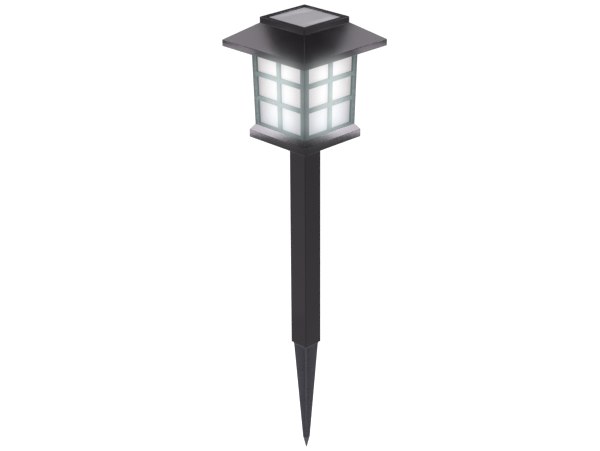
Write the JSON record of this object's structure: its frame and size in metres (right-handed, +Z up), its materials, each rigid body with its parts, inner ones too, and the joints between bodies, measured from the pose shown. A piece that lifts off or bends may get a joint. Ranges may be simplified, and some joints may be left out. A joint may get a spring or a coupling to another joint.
{
  "type": "solar garden light",
  "caption": "Square lantern garden light with a pyramid roof, a solar panel on top, frosted lattice windows, a square pole and a finned ground spike.",
  "frame": {"origin": "on the upright axis, where the foot of the pole meets the ground", "axes": "+Z up along the pole; the lantern's four sides face +X, -X, +Y and -Y"},
  "size_m": [0.105, 0.105, 0.4493],
  "materials": {
    "black_abs": "fine-textured black ABS, weathered slightly at the edges",
    "lattice_plastic": "smoky translucent plastic that glows where the light comes through",
    "frosted_pane": "frosted white acrylic",
    "panel_board": "dark circuit-board laminate",
    "silicon": "grey solar cells",
    "clear_resin": "clear potting resin",
    "sealant": "black silicone",
    "white_abs": "white moulded ABS",
    "gasket_foam": "closed-cell foam",
    "screw_steel": "zinc-plated steel",
    "nickel_contact": "nickel-plated spring steel",
    "cell_can": "nickel-plated can",
    "cell_sleeve": "shrink sleeve, plain green",
    "circuit_laminate": "green solder mask",
    "chip_black": "moulded epoxy",
    "ferrite": "sintered ferrite",
    "copper_wire": "enamelled copper",
    "led_epoxy": "clear epoxy over a yellow phosphor",
    "wire_red": "PVC insulation",
    "wire_black": "PVC insulation"
  },
  "bodies": {
    "spike": {"ground_spike": "black_abs"},
    "pole": {"pole_tube": "black_abs"},
    "lantern": {"lantern_base": "black_abs", "base_screws": "screw_steel", "lattice_shell": "lattice_plastic", "window_panes": "frosted_pane"},
    "roof": {"roof_cap": "black_abs", "housing_screws": "screw_steel", "door_screw": "screw_steel", "board_screws": "screw_steel", "panel_backing": "panel_board", "solar_cells": "silicon", "panel_resin": "clear_resin", "panel_sealant": "sealant", "battery_housing": "white_abs", "housing_gasket": "gasket_foam", "battery_door": "white_abs", "battery_cell": "cell_can", "battery_sleeve": "cell_sleeve", "positive_contact": "nickel_contact", "negative_contact": "nickel_contact", "contact_spring": "nickel_contact", "circuit_board": "circuit_laminate", "led_lamp": "led_epoxy", "led_legs": "nickel_contact", "controller_chip": "chip_black", "chip_pins": "nickel_contact", "choke_core": "ferrite", "choke_coil": "copper_wire", "switch_body": "chip_black", "switch_pins": "nickel_contact", "panel_wire_red": "wire_red", "panel_wire_black": "wire_black", "battery_wire_red": "wire_red", "battery_wire_black": "wire_black"},
    "switch": {"switch_slider": "chip_black"}
  },
  "joints": [
    {"name": "pole_lift", "type": "slide", "parent": "spike", "child": "pole", "axis": [0, 0, 1], "range_m": [0, 0.04]},
    {"name": "lantern_lift", "type": "slide", "parent": "pole", "child": "lantern", "axis": [0, 0, 1], "range_m": [0, 0.035]},
    {"name": "roof_lift", "type": "slide", "parent": "lantern", "child": "roof", "axis": [0, 0, 1], "range_m": [0, 0.05]},
    {"name": "switch_slide", "type": "slide", "parent": "roof", "child": "switch", "axis": [1, 0, 0], "range_m": [0, 0.002]}
  ]
}
